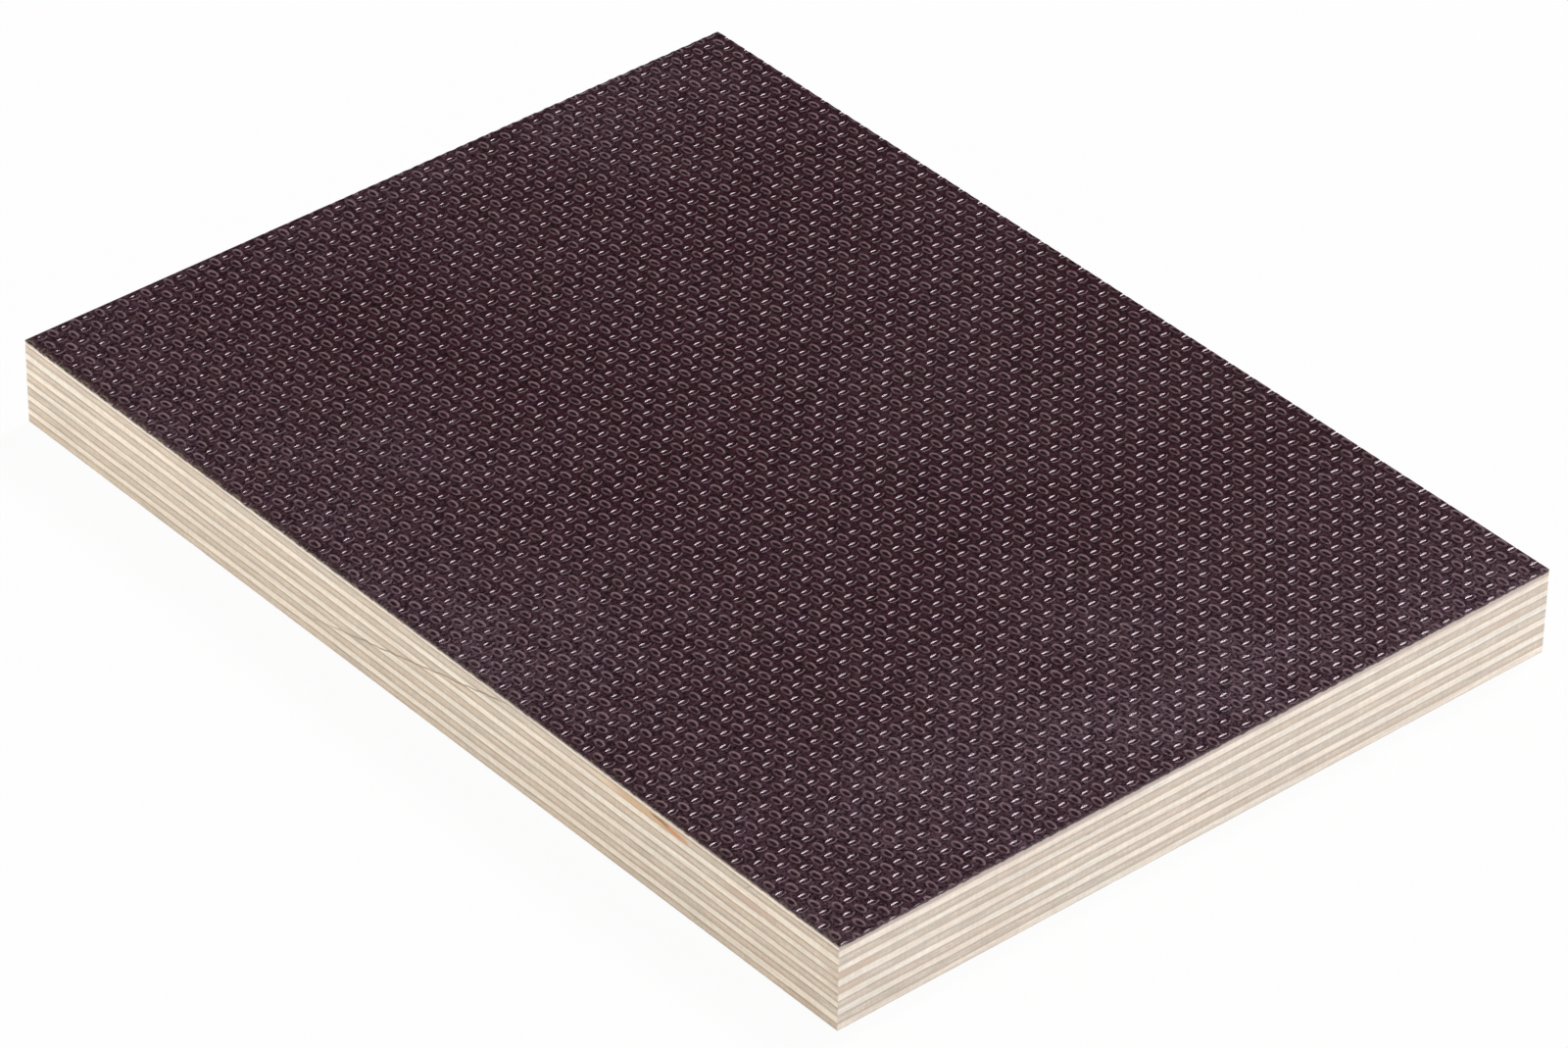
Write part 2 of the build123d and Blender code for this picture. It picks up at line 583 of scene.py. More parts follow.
def joint_height(joint, level, x, y):
    """Height of a joint at a place: its own level plus a slow wander, and none under or over a film."""
    slow = noise.noise(Vector((x / slow_length, y / slow_length, joint * 5.3)))
    quick = noise.noise(Vector((x / quick_length, y / quick_length, joint * 9.1 + 40)))
    return level + wander * (0.8 * slow + 0.5 * quick)


print("veneer grid:", grid_columns, "by", grid_rows)

# %% Build a veneer


def wavy_veneer(node):
    """A mesh for one veneer, with what its finish reads: its layer and the distance to either joint."""
    low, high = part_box(node)
    rank = rank_of[node]
    xs = np.linspace(low.x, high.x, grid_columns + 1)
    ys = np.linspace(low.y, high.y, grid_rows + 1)
    points = []
    for joint, level in ((rank, low.z), (rank + 1, high.z)):
        flat = joint in (1, len(rank_of) - 1)
        for y in ys:
            for x in xs:
                height = level if flat else joint_height(joint, level, x, y)
                points.append((x, y, height))
    width = grid_columns + 1
    above = width * (grid_rows + 1)
    faces = []
    for row in range(grid_rows):
        for column in range(grid_columns):
            a = row * width + column
            b, c, d = a + 1, a + 1 + width, a + width
            faces.append((a, d, c, b))
            faces.append((a + above, b + above, c + above, d + above))
    rim = list(range(grid_columns))
    rim += [row * width + grid_columns for row in range(grid_rows)]
    rim += [grid_rows * width + column for column in range(grid_columns, 0, -1)]
    rim += [row * width for row in range(grid_rows, 0, -1)]
    for a, b in zip(rim, rim[1:] + rim[:1]):
        faces.append((a, b, b + above, a + above))
    mesh = bpy.data.meshes.new(node + "_veneer")
    mesh.from_pydata(points, [], faces)
    heights = np.array(points)[:, 2].reshape(2, above) / mm
    gap = heights[1] - heights[0]
    for name, ends in (("below", (0 * gap, gap)), ("above", (gap, 0 * gap))):
        mesh.attributes.new(name, "FLOAT", "POINT").data.foreach_set("value", np.concatenate(ends))
    layer = mesh.attributes.new("layer", "FLOAT", "POINT")
    layer.data.foreach_set("value", [float(rank)] * len(points))
    return bpy.data.objects.new(node + "_veneer", mesh)


print("points of one veneer:", 2 * (grid_columns + 1) * (grid_rows + 1))

# %% Dress every veneer
slot_of = {part["node"]: part["material_slot"] for part in frame["record"]["subparts"]}
veneers = [node for node in rank_of if slot_of[node].startswith("birch")]
for node in veneers:
    piece = wavy_veneer(node)
    bpy.context.scene.collection.objects.link(piece)
    piece.data.materials.append(finishes[slot_of[node]])
    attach(piece, "root")
    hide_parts(node)
face_count = sum(len(bpy.data.objects[node + "_veneer"].data.polygons) for node in veneers)
print(len(veneers), "veneers,", face_count, "faces")

# %% [markdown]
# ## The wire cloth and the dents it leaves
#
# The grip face comes from a hot press: wire cloth is laid on the soft resin film, and each knuckle of
# the weave leaves a shallow oval dent. Warp and weft knuckles alternate like the squares of a
# chessboard, so half of the dents lie along X and half along Y. The cloth was not laid quite square to
# the board, its two sets of wires are not quite square to each other, and its columns fan out a little
# towards the back. The dents could be a bump in the finish, but they are the point of this board, and
# lamps catch on their walls. So every dent is modelled: a small oval bowl of two rings of eight points,
# set in a cell of the cloth. The four sawn edges then cut straight through the cells, as the saw did.

# %% The cloth's lattice
warp_pitch, weft_pitch = 2.337 * mm, 2.170 * mm
warp_turn, weft_turn = math.radians(-0.826), math.radians(-0.321)
first_knuckle = np.array((0.684, 0.302))
fan_out = 0.034
to_cells = np.array((
    (math.cos(warp_turn) / warp_pitch, math.sin(warp_turn) / warp_pitch),
    (-math.sin(weft_turn) / weft_pitch, math.cos(weft_turn) / weft_pitch),
))
to_board = np.linalg.inv(to_cells)


def laid(cell_place):
    """Where a place on the cloth lies on the board. Its columns fan out a little towards the back."""
    plan = (cell_place + first_knuckle) @ to_board.T
    return np.stack([plan[:, 0] * (1 + fan_out * plan[:, 1]), plan[:, 1]], 1)


corners = np.array([(x, y) for x in (board_low.x, board_high.x) for y in (board_low.y, board_high.y)])
reach = corners @ to_cells.T - first_knuckle
first_cell = np.floor(reach.min(0)).astype(int)
last_cell = np.ceil(reach.max(0)).astype(int)
print("cells of the cloth from", first_cell, "to", last_cell)

# %% Every knuckle: its place, its way round, its size and its depth
draw = np.random.default_rng(15)
columns = np.arange(first_cell[0], last_cell[0] + 1)
rows = np.arange(first_cell[1], last_cell[1] + 1)
cell_row, cell_column = [grid.ravel() for grid in np.meshgrid(rows, columns, indexing="ij")]
cells = np.stack([cell_column, cell_row], 1)
middles = laid(cells)
margin = 0.75 * warp_pitch
inside = (np.abs(middles[:, 0]) < board_high.x + margin) & (np.abs(middles[:, 1]) < board_high.y + margin)
cells, middles = cells[inside], middles[inside]
count = len(cells)
turned = cells.sum(1) % 2
# In each pair, first the weft knuckles that lie along Y, then the warp knuckles that lie along X
long_half = np.where(turned, 0.94, 1.03) * mm * np.clip(draw.normal(1, 0.04, count), 0.90, 1.07)
short_half = np.where(turned, 0.63, 0.62) * mm * np.clip(draw.normal(1, 0.035, count), 0.90, 1.10)
depth = np.where(turned, 0.118, 0.072) * mm * np.clip(draw.normal(1, 0.055, count), 0.82, 1.18)
depth = depth * (1 - 0.09 * middles[:, 0] / board_high.x)
centres = middles + np.clip(draw.normal(0, 0.04, (count, 2)), -0.07, 0.07) * mm
heading = math.pi / 2 * turned + warp_turn + np.clip(draw.normal(0, math.radians(3.0), count), -0.14, 0.14)
along = np.stack([np.cos(heading), np.sin(heading)], 1)
across = np.stack([-np.sin(heading), np.cos(heading)], 1)
straightness = np.where(turned, 2.0, 1.0)
end_slope = np.where(turned, 0.4, 1.0)
print(count, "knuckles,", int(turned.sum()), "of them along Y")

# %% The bowl's profile: its flat floor, and the ring of points halfway up its wall
floor_share = 0.4
wall_ring = 0.7
ring_size = 8


def bowl(radius):
    """Depth of the dent, from 1 at its floor to 0 at its rim, and the slope there. The rim is at 1."""
    step = np.clip((radius - floor_share) / (1 - floor_share), 0, 1)
    return 1 - step * step * (3 - 2 * step), 6 * step * (1 - step) / (1 - floor_share)


ring_angles = np.arange(ring_size) * math.tau / ring_size
ring_cos, ring_sin = np.cos(ring_angles), np.sin(ring_angles)
steepest = bowl(wall_ring)[1] * (depth / short_half).max()
print("steepest wall:", round(math.degrees(math.atan(steepest)), 1), "degrees")

# %% Points of all the cells
corner_columns = np.arange(cells[:, 0].min(), cells[:, 0].max() + 2)
corner_rows = np.arange(cells[:, 1].min(), cells[:, 1].max() + 2)
grid_row, grid_column = [grid.ravel() for grid in np.meshgrid(corner_rows, corner_columns, indexing="ij")]
corner_places = laid(np.stack([grid_column, grid_row], 1) - 0.5)
corner_width = len(corner_columns)
south_west = (cells[:, 1] - corner_rows[0]) * corner_width + cells[:, 0] - corner_columns[0]
cell_corners = south_west[:, None] + np.array((corner_width + 1, corner_width, 0, 1))
quarter = (np.arange(4)[None] + turned[:, None]) % 4
cell_corners = np.take_along_axis(cell_corners, quarter, 1)


def ring(share):
    """The points of one ring of every dent, at that share of the way from its middle to its rim."""
    lengthwise = np.sign(ring_cos) * np.abs(share * ring_cos) ** (1 / straightness[:, None])
    crosswise = share * ring_sin[None] * np.ones((count, 1))
    lengthwise = lengthwise[..., None] * (long_half[:, None] * along)[:, None]
    crosswise = crosswise[..., None] * (short_half[:, None] * across)[:, None]
    return centres[:, None] + lengthwise + crosswise


bowl_points = np.concatenate([centres[:, None], ring(wall_ring), ring(1.0)], 1)
bowl_depth = np.concatenate([[bowl(0.0)[0]], np.repeat([bowl(wall_ring)[0], bowl(1.0)[0]], ring_size)])
bowl_heights = board_top - depth[:, None] * bowl_depth
plan = np.concatenate([corner_places, bowl_points.reshape(-1, 2)])
heights = np.concatenate([np.full(len(corner_places), board_top), bowl_heights.ravel()])
points = np.column_stack([plan, heights])
print(len(points), "points")

# %% Triangles of all the cells
middle_index = len(corner_places) + bowl_points.shape[1] * np.arange(count)
inner = middle_index[:, None] + 1 + np.arange(ring_size)
outer = inner + ring_size
triangles = []
for k in range(ring_size):
    after = (k + 1) % ring_size
    corner = cell_corners[:, k // 2]
    triangles.append(np.stack([middle_index, inner[:, k], inner[:, after]], 1))
    triangles.append(np.stack([inner[:, k], outer[:, k], outer[:, after]], 1))
    triangles.append(np.stack([inner[:, k], outer[:, after], inner[:, after]], 1))
    triangles.append(np.stack([outer[:, k], corner, outer[:, after]], 1))
for side in range(4):
    next_corner = cell_corners[:, (side + 1) % 4]
    outer_point = outer[:, (2 * side + 2) % ring_size]
    triangles.append(np.stack([cell_corners[:, side], next_corner, outer_point], 1))
triangles = np.stack(triangles, 1)
first, second, third = [plan[triangles[..., k]] for k in range(3)]
facing_area = np.cross(second - first, third - first) / 2
print(triangles.shape[1], "triangles a cell, the smallest", facing_area.min() / mm**2, "square mm")

# %% Where each corner of a triangle lies in its own dent, in units of the dent's half axes
from_centre = plan[triangles] - centres[:, None, None]
dent_place = np.stack([
    (from_centre * along[:, None, None]).sum(-1) / long_half[:, None, None],
    (from_centre * across[:, None, None]).sum(-1) / short_half[:, None, None],
], -1)
cell_of_face = np.repeat(np.arange(count), triangles.shape[1])
sheet = bpy.data.meshes.new("grip_film")
sheet.from_pydata(points.tolist(), [], triangles.reshape(-1, 3).tolist())
sheet.uv_layers.new(name="dent").uv.foreach_set("vector", dent_place.astype(np.float32).ravel())
sheet.attributes.new("cell", "INT", "FACE").data.foreach_set("value", cell_of_face.astype(np.int32))
turned_of_face = turned[cell_of_face].astype(np.float32)
sheet.attributes.new("turned", "FLOAT", "FACE").data.foreach_set("value", turned_of_face)
print(len(sheet.polygons), "faces before sawing")

# %% Saw the sheet to the board's size and give it its thickness
solid = bmesh.new()
solid.from_mesh(sheet)
dent_layer = solid.loops.layers.uv["dent"]
cell_layer = solid.faces.layers.int["cell"]
for axis in (0, 1):
    for limit, way in ((board_low, -1), (board_high, 1)):
        place, normal = Vector((0, 0, 0)), Vector((0, 0, 0))
        place[axis], normal[axis] = limit[axis], way
        bmesh.ops.bisect_plane(
            solid,
            geom=solid.verts[:] + solid.edges[:] + solid.faces[:],
            plane_co=place,
            plane_no=normal,
            dist=1e-7,
            clear_outer=True,
        )
rim_edges = [edge for edge in solid.edges if len(edge.link_faces) == 1]
walls = bmesh.ops.extrude_edge_only(solid, edges=rim_edges)["geom"]
lower_points = {item for item in walls if isinstance(item, bmesh.types.BMVert)}
for point in lower_points:
    point.co.z = film_underside
middle = solid.verts.new((0, 0, film_underside))
new_faces = [item for item in walls if isinstance(item, bmesh.types.BMFace)]
for edge in [item for item in walls if isinstance(item, bmesh.types.BMEdge)]:
    if lower_points.issuperset(edge.verts):
        new_faces.append(solid.faces.new((edge.verts[0], edge.verts[1], middle)))
outside_every_dent = (9, 9)
for face in new_faces:
    face[cell_layer] = -1
    for loop in face.loops:
        loop[dent_layer].uv = outside_every_dent
bmesh.ops.recalc_face_normals(solid, faces=solid.faces[:])
solid.to_mesh(sheet)
solid.free()
sheet.calc_loop_triangles()
print(len(sheet.loop_triangles), "triangles after sawing,", len(new_faces), "on the edges and underside")

# %% Shade the bowls round, by the slope of their profile
corner_count = len(sheet.loops)
dent_uv = np.empty(corner_count * 2, np.float32)
sheet.uv_layers["dent"].uv.foreach_get("vector", dent_uv)
dent_uv = dent_uv.reshape(-1, 2).astype(float)
face_cell = np.empty(len(sheet.polygons), np.int32)
sheet.attributes["cell"].data.foreach_get("value", face_cell)
face_sides = np.empty(len(sheet.polygons), np.int32)
sheet.polygons.foreach_get("loop_total", face_sides)
face_normal = np.empty(len(sheet.polygons) * 3, np.float32)
sheet.polygons.foreach_get("normal", face_normal)
corner_normal = np.repeat(face_normal.reshape(-1, 3), face_sides, 0).astype(float)
corner_cell = np.repeat(face_cell, face_sides)
on_top = corner_cell >= 0
owner = corner_cell[on_top]
power = straightness[owner]
lengthwise, crosswise = dent_uv[on_top, 0], dent_uv[on_top, 1]
radius = np.maximum(np.sqrt(np.abs(lengthwise) ** (2 * power) + crosswise**2), 1e-9)
steep = bowl(radius)[1] * depth[owner] / radius
length_slope = steep * power * np.sign(lengthwise) * np.abs(lengthwise) ** (2 * power - 1)
length_slope = length_slope * end_slope[owner] / long_half[owner]
cross_slope = steep * crosswise / short_half[owner]
slope = length_slope[:, None] * along[owner] + cross_slope[:, None] * across[owner]
rounded = np.column_stack([-slope, np.ones(len(slope))])
corner_normal[on_top] = rounded / np.linalg.norm(rounded, axis=1)[:, None]
sheet.polygons.foreach_set("use_smooth", np.ones(len(sheet.polygons), bool))
sheet.normals_split_custom_set(corner_normal.tolist())
print("rounded corners:", int(on_top.sum()), "of", corner_count)

# %% Put the film in its place
grip_film = bpy.data.objects.new("grip_film", sheet)
bpy.context.scene.collection.objects.link(grip_film)
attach(grip_film, "root")
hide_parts("mesh_film")
print("grip film in place,", count, "knuckles before sawing")

# %% [markdown]
# ## The grip film's finish
#
# The resin is a brown so dark that it is almost black, with a mauve cast. It is satin, so the lamps
# draw small bright strokes on the walls of the dents. The knuckles that lie along X have worn the
# resin lighter all round their dents, and that pale ring also carries painted sheen, painted brighter on
# its far side where the lamp falls. On the dents along Y one thin pale line is a painted highlight, the
# second stroke of light on that wall. Painting rings by hand, or with a tiled picture, would repeat.
# Here a mask reads the place inside the dent, which the mesh carries along as a UV map, so each ring
# sits exactly on its own dent and wears unevenly. The floors of the dents along X are painted dark, as
# painted shade. Fine mottling, slow dust clouds and a few pale specks break up the rest. A pale veil is
# mixed into the film towards its near and right borders. The saw left dusty chips along those borders
# and tore the edge of the film, so that bare wood shows through it in places.

# %% Grip film: its colours and where a point lies in its dent
film_colour = (0.0315, 0.0088, 0.0157, 1)
brown_cast = (1.05, 1.35, 1.0, 1)
rubbed_and_sheen_colour = (0.226, 0.147, 0.166, 1)
olive_colour = (0.150, 0.112, 0.078, 1)
dent_shade_colour = (0.014, 0.004, 0.006, 1)
cut_colour = (0.034, 0.020, 0.018, 1)
veil_colour = (0.46, 0.35, 0.42, 1)
speck_colour = (0.34, 0.27, 0.28, 1)
sanded_colour = (0.36, 0.29, 0.17, 1)
dust_colour = (0.36, 0.28, 0.18, 1)
bared_wood = (0.66, 0.54, 0.44, 1)
material, tree, shader = finish_of("grip film", 0.2, 0.43)
shader.inputs["Specular Tint"].default_value = (1.0, 0.80, 0.89, 1)
place = place_in_mm(tree)
x, y, z = axes_of(tree, place)
in_dent = sway(tree, add_node(tree, "UVMap", uv_map="dent").outputs[0], 1.8, (0.32, 0.32, 0.0), place)
turned_dent = add_node(tree, "Attribute", attribute_name="turned").outputs["Fac"]
far_side = axes_of(tree, in_dent)[1]


def reach_in_dent(middle, half_size):
    """How far out a point is from that middle, where 1 is the oval of that half size. All in half axes."""
    moved = add_node(tree, "VectorMath", operation="SUBTRACT")
    feed(tree, moved.inputs[0], in_dent)
    moved.inputs[1].default_value = (*middle, 0.0)
    factors = (1 / half_size[0], 1 / half_size[1], 0.0)
    length = add_node(tree, "VectorMath", operation="LENGTH")
    feed(tree, length.inputs[0], stretch(tree, moved.outputs[0], factors))
    return length.outputs["Value"]


print("a point's place in its dent:", len(tree.nodes), "nodes")

# %% Grip film: where the knuckles wore it pale, with painted sheen and painted highlight lines
# Warp knuckles wore it pale all the way round, partly worn resin and partly painted sheen
from_middle = reach_in_dent((0.0, 0.0), (1.0, 1.0))
from_floor = reach_in_dent((0.05, -0.06), (1.12, 0.90))
rubbed_ring_and_sheen = calc(tree, "MULTIPLY", fade(tree, from_floor, 0.54, 0.84), fade(tree, from_middle, 1.18, 0.98))
# The far side of each ring is painted brighter, where the lamp falls on it: painted light
rubbed_ring_and_sheen = calc(tree, "MULTIPLY", rubbed_ring_and_sheen, calc(tree, "MULTIPLY_ADD", far_side, 0.52, 0.84))
# Weft knuckles get one thin pale line on the side away from the lamp: a painted highlight, the second
# stroke of light on that wall
from_line = reach_in_dent((0.20, 0.0), (0.95, 0.70))
painted_highlight_line = calc(tree, "MULTIPLY", fade(tree, from_line, 0.68, 0.86), fade(tree, from_line, 1.12, 0.96))
painted_highlight_line = calc(tree, "MULTIPLY", painted_highlight_line, spread(tree, fade(tree, far_side, -0.05, -0.38), 0.0, 2.9))
rub_and_sheen_mask = add_node(tree, "Mix", data_type="FLOAT")
feed(tree, rub_and_sheen_mask.inputs[0], turned_dent)
feed(tree, rub_and_sheen_mask.inputs[2], rubbed_ring_and_sheen)
feed(tree, rub_and_sheen_mask.inputs[3], painted_highlight_line)
# Both vary unevenly from place to place: the worn rings and the painted highlight lines
uneven_share = spread(tree, fade(tree, grain_noise(tree, place, 1.1, 3.0, 0.6), 0.3, 0.7), 0.30, 1.25)
rub_and_sheen_mask = calc(tree, "MULTIPLY", rub_and_sheen_mask.outputs[0], uneven_share)
print("rubbed places:", len(tree.nodes), "nodes")

# %% Grip film: mottling, dust and a pale veil towards the borders
mottle = grain_noise(tree, place, 2.1, 5.0, 0.75)
colour = tint(tree, fade(tree, mottle, 0.34, 0.66), shaded(film_colour, 0.12), shaded(film_colour, 1.9))
browned = fade(tree, grain_noise(tree, place, 0.35, 3.0, 0.7), 0.42, 0.68)
colour = tint(tree, browned, colour, brown_cast, "MULTIPLY")
clouds = fade(tree, grain_noise(tree, place, 0.04, 4.0, 0.6), 0.42, 0.66)
# The film is mixed with a pale veil, stronger towards its near and right borders
paler_front_share = spread(tree, fade(tree, x, 5.0, 40.0), 0.066, 0.034)
paler_near_borders = calc(tree, "MULTIPLY", fade(tree, y, -22.0, -66.0), paler_front_share)
paler_near_borders = calc(tree, "MAXIMUM", paler_near_borders, calc(tree, "MULTIPLY", fade(tree, x, 38.0, 95.0), 0.080))
paler_near_borders = calc(tree, "MAXIMUM", paler_near_borders, calc(tree, "MULTIPLY", fade(tree, x, -60.0, -92.0), 0.026))
veil = calc(tree, "MULTIPLY", paler_near_borders, spread(tree, clouds, 0.70, 1.45))
veil = calc(tree, "MULTIPLY_ADD", clouds, 0.016, veil)
veil = calc(tree, "MULTIPLY", veil, spread(tree, fade(tree, mottle, 0.42, 0.68), 0.10, 2.1))
colour = tint(tree, veil, colour, veil_colour)
specks = fade(tree, grain_noise(tree, place, 1.9, 2.0, 0.7), 0.74, 0.80)
colour = tint(tree, calc(tree, "MULTIPLY", specks, 0.4), colour, speck_colour)
near_front = fade(tree, y, board_low.y / mm + 1.6, board_low.y / mm + 0.6)
# Pale rings and painted highlight lines, partly worn resin and partly painted sheen, stronger where the
# film is paler near the borders
rubbed_and_sheen = calc(tree, "MULTIPLY", rub_and_sheen_mask, calc(tree, "MULTIPLY_ADD", paler_near_borders, 3.0, 1.0))
colour = tint(tree, rubbed_and_sheen, colour, tint(tree, near_front, rubbed_and_sheen_colour, olive_colour))
print("mottled and worn:", len(tree.nodes), "nodes")

# %% Grip film: what the saw did along its borders, and the painted shade on the floors of the dents
to_front = calc(tree, "SUBTRACT", y, board_low.y / mm)
border = calc(tree, "MINIMUM", to_front, calc(tree, "SUBTRACT", board_high.x / mm, x))
more_to_the_left = spread(tree, fade(tree, x, 0.0, -70.0), 0.2, 1.0)
sanded = calc(tree, "MULTIPLY", fade(tree, border, 1.6, 0.3), more_to_the_left)
sanded = calc(tree, "MULTIPLY", sanded, spread(tree, near_front, 0.0, 0.05))
colour = tint(tree, sanded, colour, sanded_colour)
chips = fade(tree, grain_noise(tree, place, 1.2, 3.0, 0.7), 0.52, 0.62)
chips = calc(tree, "MULTIPLY", chips, fade(tree, border, 0.45, 0.05))
chips = calc(tree, "MULTIPLY", chips, spread(tree, near_front, 0.06, 0.28))
colour = tint(tree, chips, colour, dust_colour)
# The floors of the warp dents are painted dark: painted shade in the hollows
dent_shade_mask = fade(tree, from_floor, 0.64, 0.34)
dent_shade_mask = calc(tree, "MULTIPLY", dent_shade_mask, spread(tree, turned_dent, 0.75, 0.0))
colour = tint(tree, dent_shade_mask, colour, dent_shade_colour)
# The film's own sawn face, with bare wood where the saw tore it
facing_up = axes_of(tree, add_node(tree, "TexCoord").outputs["Normal"])[2]
above_wood = calc(tree, "SUBTRACT", z, film_underside / mm)
torn_height = spread(tree, fade(tree, grain_noise(tree, place, 1.4, 4.0, 0.7), 0.36, 0.66), 0.0, 0.17)
torn = calc(tree, "SUBTRACT", torn_height, above_wood)
torn = calc(tree, "MULTIPLY", fade(tree, torn, -0.03, 0.03), spread(tree, near_front, 0.10, 0.55))
cut_face = tint(tree, torn, cut_colour, bared_wood)
colour = tint(tree, fade(tree, facing_up, 0.5, 0.3), colour, cut_face)
feed(tree, shader.inputs["Base Color"], colour)
print("coloured:", len(tree.nodes), "nodes")

# %% Grip film: gloss and fine relief
roughness = calc(tree, "MULTIPLY_ADD", rub_and_sheen_mask, 0.05, spread(tree, mottle, 0.11, 0.20))
roughness = calc(tree, "MULTIPLY_ADD", fade(tree, x, 20.0, -90.0), -0.04, roughness)
roughness = calc(tree, "MULTIPLY_ADD", fade(tree, border, 0.9, 0.2), 0.12, roughness)
feed(tree, shader.inputs["Roughness"], roughness)
lip = calc(tree, "MULTIPLY", fade(tree, from_middle, 0.95, 1.08), fade(tree, from_middle, 1.4, 1.12))
lip = calc(tree, "MULTIPLY", lip, spread(tree, turned_dent, 1.0, 0.0))
peel = grain_noise(tree, place, 1.6, 3.0, 0.55)
relief = calc(tree, "MULTIPLY_ADD", peel, 0.24, lip)
feed(tree, shader.inputs["Normal"], dents(tree, relief, 0.012 * mm))
sheet.materials.append(material)
print("grip film:", len(tree.nodes), "nodes")

# %% [markdown]
# ## The back film
#
# The underside is sealed with the same resin, thinner and pressed against a polished plate. It is a flat
# sheet, so the CAD layer itself stays and only gets a better finish: even brown with a soft sheen,
# a trace of the fibres under it, and fine rub marks from being stacked.

# %% Back film material
smooth_colours = (0.036, 0.012, 0.011, 1), (0.064, 0.026, 0.020, 1)
stacking_colour = (0.14, 0.09, 0.08, 1)
sawn_rim_colour = (0.84, 0.79, 0.72, 1)
material, tree, shader = finish_of("back film", 0.3, 0.5)
place = place_in_mm(tree)
fibres = grain_noise(tree, stretch(tree, place, (0.9, 0.05, 1.0)), 1.0, 4.0, 0.6)
rubs = grain_noise(tree, stretch(tree, place, (0.04, 0.9, 1.0)), 1.0, 5.0, 0.7)
colour = tint(tree, fibres, *smooth_colours)
colour = tint(tree, calc(tree, "MULTIPLY", fade(tree, rubs, 0.58, 0.8), 0.4), colour, stacking_colour)
facing_down = calc(tree, "ABSOLUTE", axes_of(tree, add_node(tree, "TexCoord").outputs["Normal"])[2])
colour = tint(tree, fade(tree, facing_down, 0.5, 0.3), colour, sawn_rim_colour)
feed(tree, shader.inputs["Base Color"], colour)
feed(tree, shader.inputs["Roughness"], spread(tree, rubs, 0.24, 0.46))
feed(tree, shader.inputs["Normal"], dents(tree, fibres, 0.006 * mm))
back_film = frame["nodes"]["back_film"]
back_film.data.materials.clear()
back_film.data.materials.append(material)
print("back film:", len(tree.nodes), "nodes")

# %% [markdown]
# ## Light, floor and background
#
# The light is that of a small studio. One upright strip stands high behind the board, where its
# reflection in the wall of each dent reaches the camera as a slim bright stroke. Two broad softboxes
# stand low on the near sides, one for each sawn edge. The sky over the board stays dim and only the
# horizon is bright, because the flat resin mirrors what is above it. White walls all round would be
# simpler, but they would turn the dark film grey. So Light Path makes the background white for the
# camera alone, and leaves the sky that the film mirrors as it is. The floor is a pale sheet that reads
# as white to the camera and still keeps a soft shadow.

# %% Lamps


def softbox(name, azimuth, elevation, distance, width, height, radiance):
    """An area lamp that looks at the board. Radiance is how bright its face is, with white as 1."""
    lamp = bpy.data.lights.new(name, "AREA")
    lamp.shape = "RECTANGLE"
    lamp.size = width
    lamp.size_y = height
    lamp.energy = radiance * math.pi * width * height
    holder = bpy.data.objects.new(name, lamp)
    back = toward(math.radians(azimuth), math.radians(elevation))
    holder.matrix_world = Matrix.Translation(back * distance) @ look(back)
    bpy.context.scene.collection.objects.link(holder)
    return holder


key_azimuth, key_elevation = 190.8, 55.2
softbox("key strip", key_azimuth, key_elevation, distance=3.0, width=0.42, height=1.25, radiance=34.0)
softbox("long edge softbox", -35.0, 10.0, distance=1.2, width=0.8, height=0.8, radiance=6.2)
softbox("short edge softbox", 115.0, 10.0, distance=1.4, width=0.9, height=0.9, radiance=6.15)

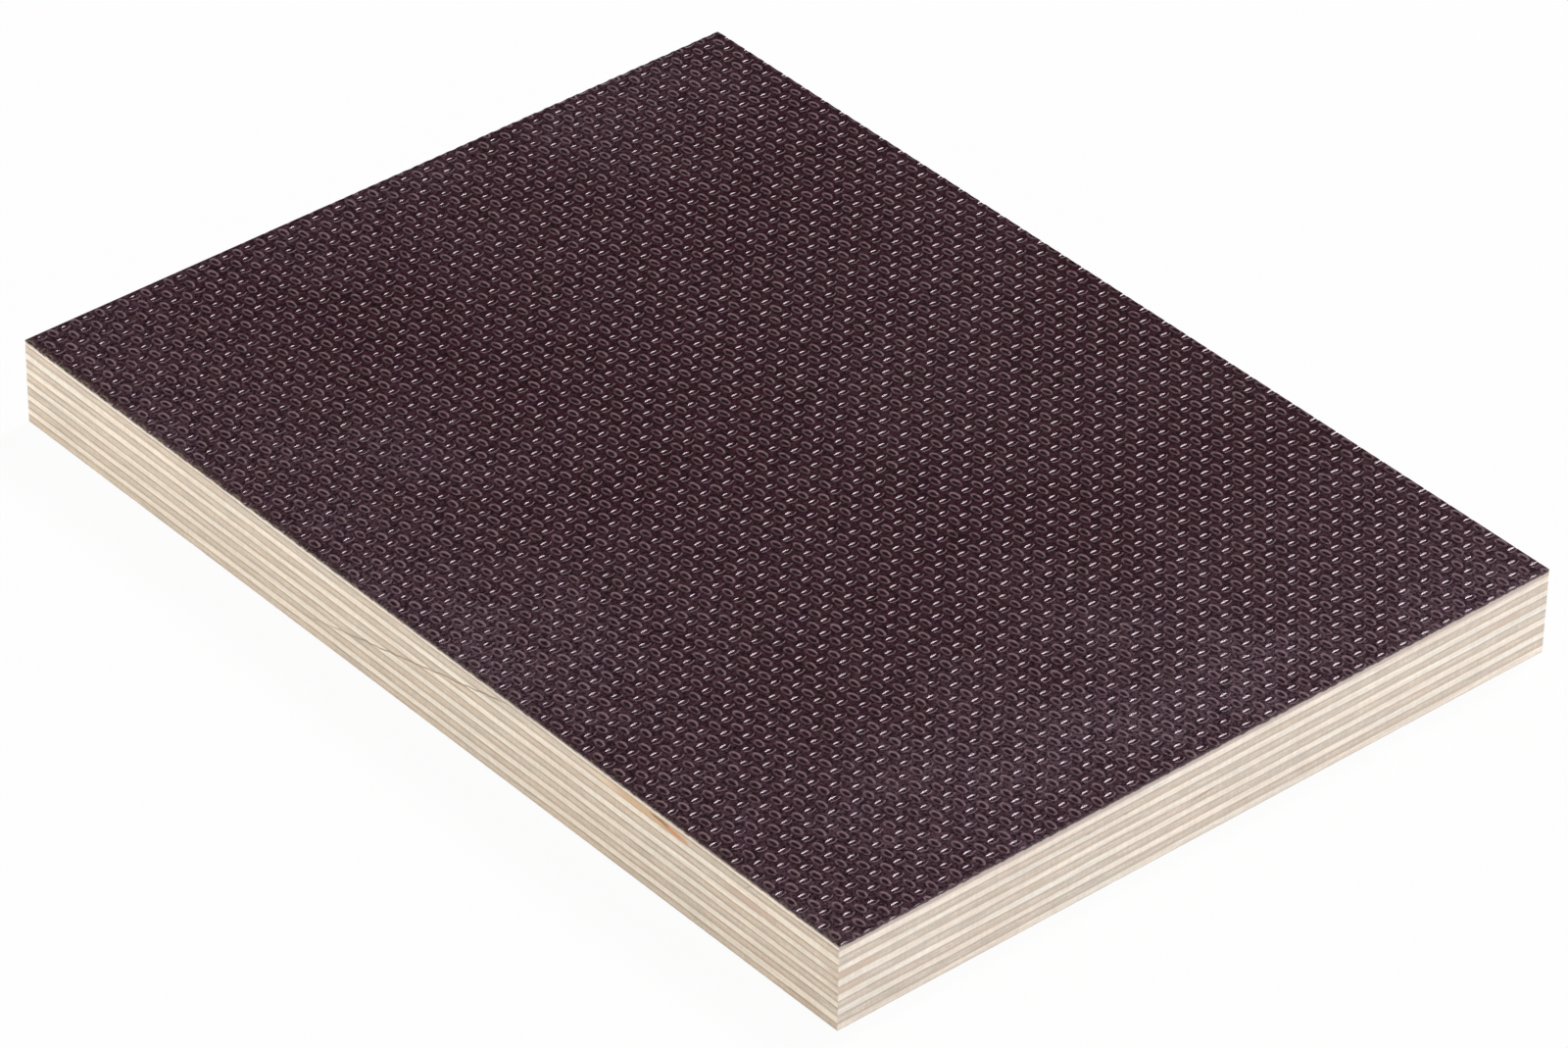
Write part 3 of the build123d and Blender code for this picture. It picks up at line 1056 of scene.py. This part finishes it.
# %% World: bright horizon, dim sky with a halo round the key, white to the camera
horizon_light, sky_light, halo_light = (1.0, 1.0, 1.0, 1), (0.06, 0.06, 0.06, 1), (0.15, 0.15, 0.15, 1)
world = bpy.data.worlds.new("studio")
bpy.context.scene.world = world
world.use_nodes = True
tree = world.node_tree
sky = add_node(tree, "TexCoord").outputs["Generated"]
glow = tint(tree, fade(tree, axes_of(tree, sky)[2], 0.0, 0.40), horizon_light, sky_light)
toward_key = add_node(tree, "VectorMath", operation="DOT_PRODUCT")
feed(tree, toward_key.inputs[0], sky)
toward_key.inputs[1].default_value = toward(math.radians(key_azimuth), math.radians(key_elevation))
halo = fade(tree, toward_key.outputs["Value"], 0.78, 0.97)
glow = tint(tree, halo, glow, halo_light)
rays = add_node(tree, "LightPath").outputs
white_to = calc(tree, "MAXIMUM", rays["Is Camera Ray"], rays["Is Transmission Ray"])
seen = tint(tree, white_to, glow, (1, 1, 1, 1))
feed(tree, tree.nodes["Background"].inputs["Color"], seen)
tree.nodes["Background"].inputs["Strength"].default_value = 1.0
print("world:", len(tree.nodes), "nodes")

# %% Floor
floor_side = 8.0
floor_mesh = bpy.data.meshes.new("floor")
half = floor_side / 2
floor_corners = [(-half, -half, 0), (half, -half, 0), (half, half, 0), (-half, half, 0)]
floor_mesh.from_pydata(floor_corners, [], [(0, 1, 2, 3)])
floor = bpy.data.objects.new("floor", floor_mesh)
bpy.context.scene.collection.objects.link(floor)
paper = bpy.data.materials.new("white paper")
paper.use_nodes = True
tree = paper.node_tree
tree.nodes.clear()
matt = add_node(tree, "BsdfDiffuse")
matt.inputs["Color"].default_value = (0.88, 0.88, 0.88, 1)
glow = add_node(tree, "Emission")
glow.inputs["Strength"].default_value = 1.0
both = add_node(tree, "MixShader")
white_share = 0.95
rays = add_node(tree, "LightPath").outputs
white_to = calc(tree, "MAXIMUM", rays["Is Camera Ray"], rays["Is Transmission Ray"])
white_to = calc(tree, "MAXIMUM", white_to, rays["Is Glossy Ray"])
feed(tree, both.inputs[0], calc(tree, "MULTIPLY", white_to, white_share))
tree.links.new(matt.outputs[0], both.inputs[1])
tree.links.new(glow.outputs[0], both.inputs[2])
output = add_node(tree, "OutputMaterial")
tree.links.new(both.outputs[0], output.inputs["Surface"])
floor_mesh.materials.append(paper)
print("floor", floor_side, "m square")

# %% View settings
bpy.context.scene.view_settings.view_transform = "Standard"
